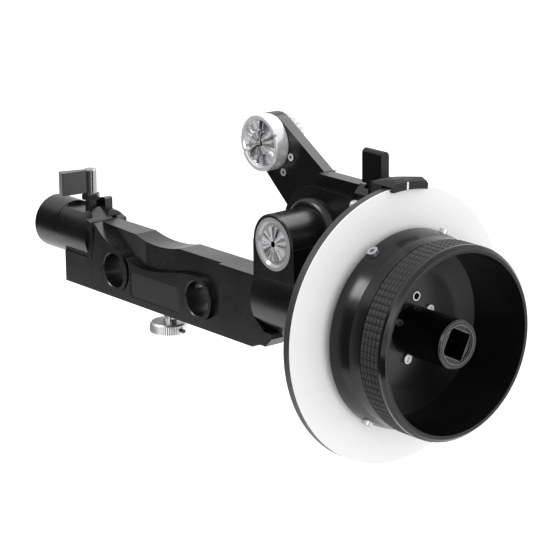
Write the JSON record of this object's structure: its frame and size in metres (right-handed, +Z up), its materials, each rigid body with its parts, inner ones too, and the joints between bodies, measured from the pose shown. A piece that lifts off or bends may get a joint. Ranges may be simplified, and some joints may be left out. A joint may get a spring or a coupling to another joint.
{
  "type": "follow focus unit",
  "caption": "Camera follow focus: bridge clamped on twin support rods, geared hand wheel with marking disk and index, and a swing arm with a geared lens drive.",
  "frame": {"origin": "midway between the axes of the two rod bores, on the front face of the bridge bar", "axes": "+X along the bridge towards the hand wheel, +Y along the support rods away from the operator, +Z up"},
  "size_m": [0.2617, 0.1126, 0.1252],
  "materials": {
    "black_anodised": "satin black anodised",
    "dark_plate": "matt dark plate",
    "screw_steel": "bright machined steel",
    "black_screw": "black oxide screws",
    "shaft_steel": "ground steel",
    "polished": "polished bright metal",
    "gear_steel": "machined gear steel",
    "pale_gear": "pale moulded plastic",
    "bush_bronze": "oiled bronze",
    "grip_rubber": "fine ribbed black rubber",
    "disk_white": "matt white, can be written on and wiped",
    "line_white": "white inlay"
  },
  "bodies": {
    "bridge": {"bridge_bar": "black_anodised", "name_plate": "dark_plate", "bar_screws": "black_screw", "end_housing": "black_anodised", "gearbox_housing": "black_anodised", "end_cap": "black_anodised", "cap_screws": "black_screw", "pivot_plate": "black_anodised", "plate_screw": "screw_steel", "pivot_sleeve": "screw_steel", "pivot_nut": "screw_steel", "lock_block": "black_anodised", "lock_base": "black_anodised", "lock_pin": "screw_steel", "wheel_bearings": "shaft_steel", "bearing_spacer": "shaft_steel", "cross_bushes": "bush_bronze", "output_bushes": "bush_bronze", "transfer_stud": "screw_steel"},
    "hand_wheel": {"main_shaft": "shaft_steel", "main_bevel": "gear_steel", "disk_backing": "dark_plate", "marking_disk": "disk_white", "wheel_cup": "black_anodised", "grip_ring": "grip_rubber", "rim_ring": "black_anodised", "hub_tube": "black_anodised", "floor_screws": "screw_steel", "radial_screws": "screw_steel"},
    "cross_shaft": {"cross_shaft": "shaft_steel", "cross_bevel": "gear_steel", "cross_gear": "gear_steel"},
    "transfer_gear": {"transfer_gear": "gear_steel"},
    "output_shaft": {"output_shaft": "shaft_steel", "output_gear": "gear_steel", "front_socket": "polished", "drive_gear": "gear_steel"},
    "swing_arm": {"swing_arm": "black_anodised", "arm_screws": "screw_steel", "idler_studs": "screw_steel", "lens_bush": "bush_bronze"},
    "first_idler": {"first_idler": "gear_steel"},
    "second_idler": {"second_idler": "gear_steel"},
    "lens_drive": {"lens_shaft": "shaft_steel", "lens_gear": "pale_gear", "lens_drum": "polished", "lens_hub": "polished"},
    "lock_lever": {"lock_lever": "dark_plate"},
    "clamp_lever": {"lever_collar": "shaft_steel", "lever_hub": "polished", "lever_wing": "dark_plate"},
    "thumb_screw": {"thumb_wheel": "screw_steel", "thumb_stem": "shaft_steel", "thumb_pins": "black_screw"},
    "clamp_bar": {"clamp_bar": "shaft_steel"},
    "index": {"index_ring": "black_anodised", "index_block": "black_anodised", "index_line": "line_white"}
  },
  "joints": [
    {"name": "wheel_spin", "type": "hinge", "parent": "bridge", "child": "hand_wheel", "pos_m": [0.1, 0.0176, 0.00955], "axis": [1, 0, 0], "continuous": true},
    {"name": "cross_spin", "type": "hinge", "parent": "bridge", "child": "cross_shaft", "pos_m": [0.0803, 0, 0.00955], "axis": [0, 1, 0], "continuous": true},
    {"name": "transfer_spin", "type": "hinge", "parent": "bridge", "child": "transfer_gear", "pos_m": [0.0803, 0, 0.02075], "axis": [0, 1, 0], "continuous": true},
    {"name": "output_spin", "type": "hinge", "parent": "bridge", "child": "output_shaft", "pos_m": [0.0803, 0, 0.03395], "axis": [0, 1, 0], "continuous": true},
    {"name": "arm_swing", "type": "hinge", "parent": "bridge", "child": "swing_arm", "pos_m": [0.0803, 0, 0.03395], "axis": [0, 1, 0], "range_deg": [-54, 0]},
    {"name": "first_idler_spin", "type": "hinge", "parent": "swing_arm", "child": "first_idler", "pos_m": [0.064, 0.0385, 0.04812], "axis": [0, 1, 0], "continuous": true},
    {"name": "second_idler_spin", "type": "hinge", "parent": "swing_arm", "child": "second_idler", "pos_m": [0.05585, 0.0385, 0.05521], "axis": [0, 1, 0], "continuous": true},
    {"name": "lens_spin", "type": "hinge", "parent": "swing_arm", "child": "lens_drive", "pos_m": [0.04317, 0.0385, 0.06623], "axis": [0, 1, 0], "continuous": true},
    {"name": "lock_tilt", "type": "hinge", "parent": "bridge", "child": "lock_lever", "pos_m": [0.11025, 0.0301, 0.0564], "axis": [1, 0, 0], "range_deg": [-12, 12]},
    {"name": "clamp_turn", "type": "hinge", "parent": "bridge", "child": "clamp_lever", "pos_m": [-0.0614, 0.011, 0.03], "axis": [0, 0, 1], "range_deg": [-90, 30]},
    {"name": "thumb_turn", "type": "hinge", "parent": "bridge", "child": "thumb_screw", "pos_m": [0, 0.0077, -0.02], "axis": [0, 0, 1], "range_deg": [0, 360]},
    {"name": "clamp_slide", "type": "slide", "parent": "bridge", "child": "clamp_bar", "axis": [0, 0, 1], "range_m": [-0.0005, 0]},
    {"name": "index_turn", "type": "hinge", "parent": "bridge", "child": "index", "pos_m": [0.125, 0.0176, 0.00955], "axis": [1, 0, 0], "range_deg": [-25, 25]}
  ],
  "couplings": [
    {"joint": "cross_spin", "follows": "wheel_spin", "ratio": -1},
    {"joint": "transfer_spin", "follows": "wheel_spin", "ratio": 1.3333},
    {"joint": "output_spin", "follows": "wheel_spin", "ratio": -0.7619},
    {"joint": "first_idler_spin", "follows": "wheel_spin", "ratio": 2.1769},
    {"joint": "second_idler_spin", "follows": "wheel_spin", "ratio": -2.3443},
    {"joint": "lens_spin", "follows": "wheel_spin", "ratio": 1.0509},
    {"joint": "thumb_turn", "follows": "clamp_slide", "rad_per_m": -12566}
  ]
}
